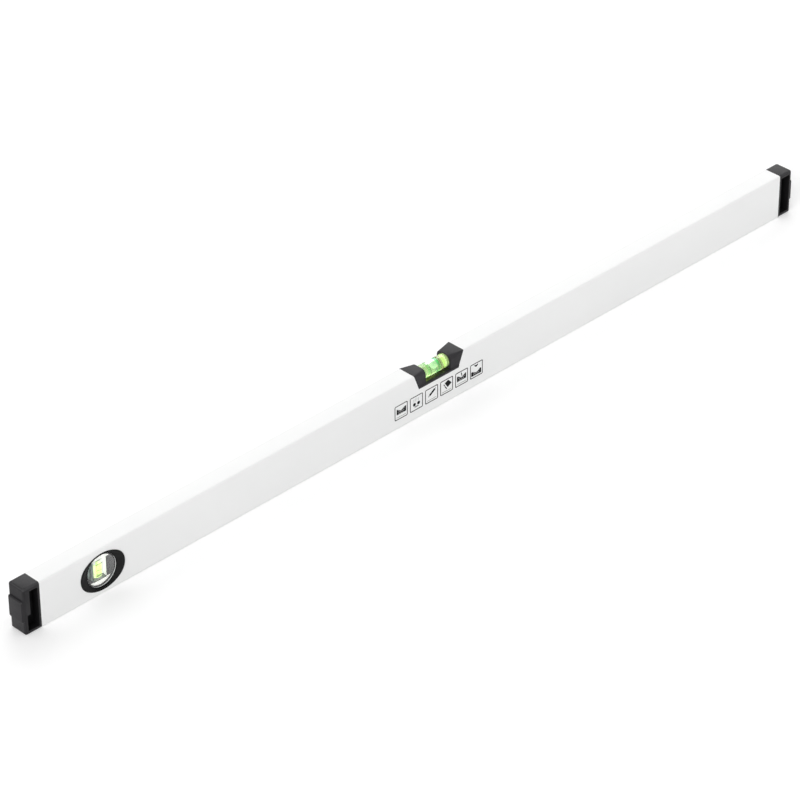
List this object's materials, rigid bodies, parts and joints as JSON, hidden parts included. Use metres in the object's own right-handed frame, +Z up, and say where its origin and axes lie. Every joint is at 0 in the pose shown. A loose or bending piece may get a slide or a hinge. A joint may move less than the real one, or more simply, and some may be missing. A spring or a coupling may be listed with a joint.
{
  "type": "spirit level",
  "caption": "Box-section spirit level with a level vial in a top recess and a plumb vial behind a round window near one end.",
  "frame": {"origin": "middle of the lower measuring face", "axes": "+X along the level away from the plumb vial, +Z up through the top measuring face, the read face with the plumb bezel looks along -Y"},
  "size_m": [1, 0.0212, 0.048],
  "materials": {
    "white_coating": "white powder coat, satin",
    "black_plastic": "fine moulded grain",
    "clear_acrylic": "clear polished",
    "lime_liquid": "clear yellow-green liquid",
    "white_plastic": "natural white",
    "mark_black": "matt"
  },
  "bodies": {
    "root": {"profile": "white_coating", "end_cap_right": "black_plastic", "end_cap_left": "black_plastic", "centre_holder": "black_plastic", "centre_vial_tube": "clear_acrylic", "centre_vial_plug": "white_plastic", "centre_vial_marks": "mark_black", "centre_vial_liquid": "lime_liquid", "plumb_housing_front": "black_plastic", "plumb_housing_rear": "black_plastic", "plumb_window_front": "clear_acrylic", "plumb_window_rear": "clear_acrylic", "plumb_seat_lower": "white_plastic", "plumb_seat_upper": "white_plastic", "plumb_vial_block": "clear_acrylic", "plumb_vial_plug": "white_plastic", "plumb_vial_marks": "mark_black", "plumb_vial_liquid": "lime_liquid"}
  },
  "joints": []
}
